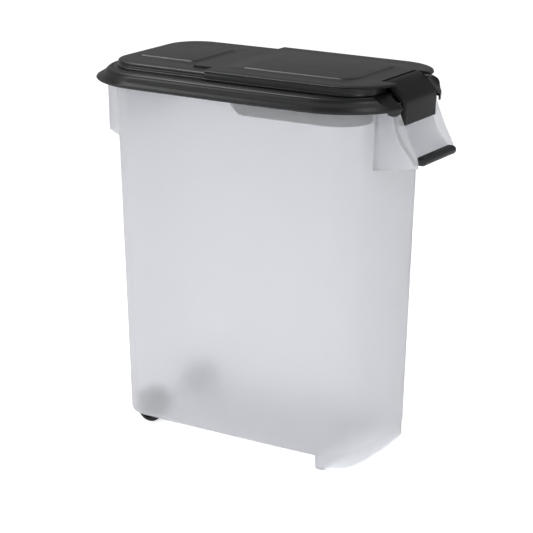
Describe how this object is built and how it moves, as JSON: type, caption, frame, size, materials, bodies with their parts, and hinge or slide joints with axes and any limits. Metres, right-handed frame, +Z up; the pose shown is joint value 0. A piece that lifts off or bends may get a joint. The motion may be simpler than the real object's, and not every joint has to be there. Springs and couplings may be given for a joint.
{
  "type": "pet food bin",
  "caption": "Tall rolling bin for dry pet food: translucent tub, dark lid with a hinged flap and front latch, handle hoods and rear wheels.",
  "frame": {"origin": "middle of the footprint, on the ground", "axes": "+X from the wheels to the latch and front handle, +Z up"},
  "size_m": [0.5651, 0.2842, 0.5893],
  "materials": {
    "tub": "satin, milky and translucent",
    "lid": "satin, fine moulded grain",
    "latch": "satin",
    "grip": "satin",
    "wheel": "matte",
    "seal": "matte",
    "steel": "drawn wire"
  },
  "bodies": {
    "tub": {"tub": "tub", "handle_grip": "grip", "axle_left": "steel", "axle_right": "steel"},
    "lid": {"lid_frame": "lid"},
    "flap": {"flap": "lid", "flap_seal": "seal", "latch_pin": "steel"},
    "latch": {"latch": "latch"},
    "wheel_left": {"wheel_left": "wheel"},
    "wheel_right": {"wheel_right": "wheel"}
  },
  "joints": [
    {"name": "lid_lift", "type": "slide", "parent": "tub", "child": "lid", "axis": [0, 0, 1], "range_m": [0, 0.12]},
    {"name": "flap_hinge", "type": "hinge", "parent": "lid", "child": "flap", "pos_m": [-0.062, 0, 0.5815], "axis": [0, -1, 0], "range_deg": [0, 105]},
    {"name": "latch_hinge", "type": "hinge", "parent": "flap", "child": "latch", "pos_m": [0.211, 0, 0.582], "axis": [0, -1, 0], "range_deg": [0, 90]},
    {"name": "wheel_left_spin", "type": "hinge", "parent": "tub", "child": "wheel_left", "pos_m": [-0.188, 0.066, 0.024], "axis": [0, 1, 0], "continuous": true},
    {"name": "wheel_right_spin", "type": "hinge", "parent": "tub", "child": "wheel_right", "pos_m": [-0.188, -0.066, 0.024], "axis": [0, 1, 0], "continuous": true}
  ]
}
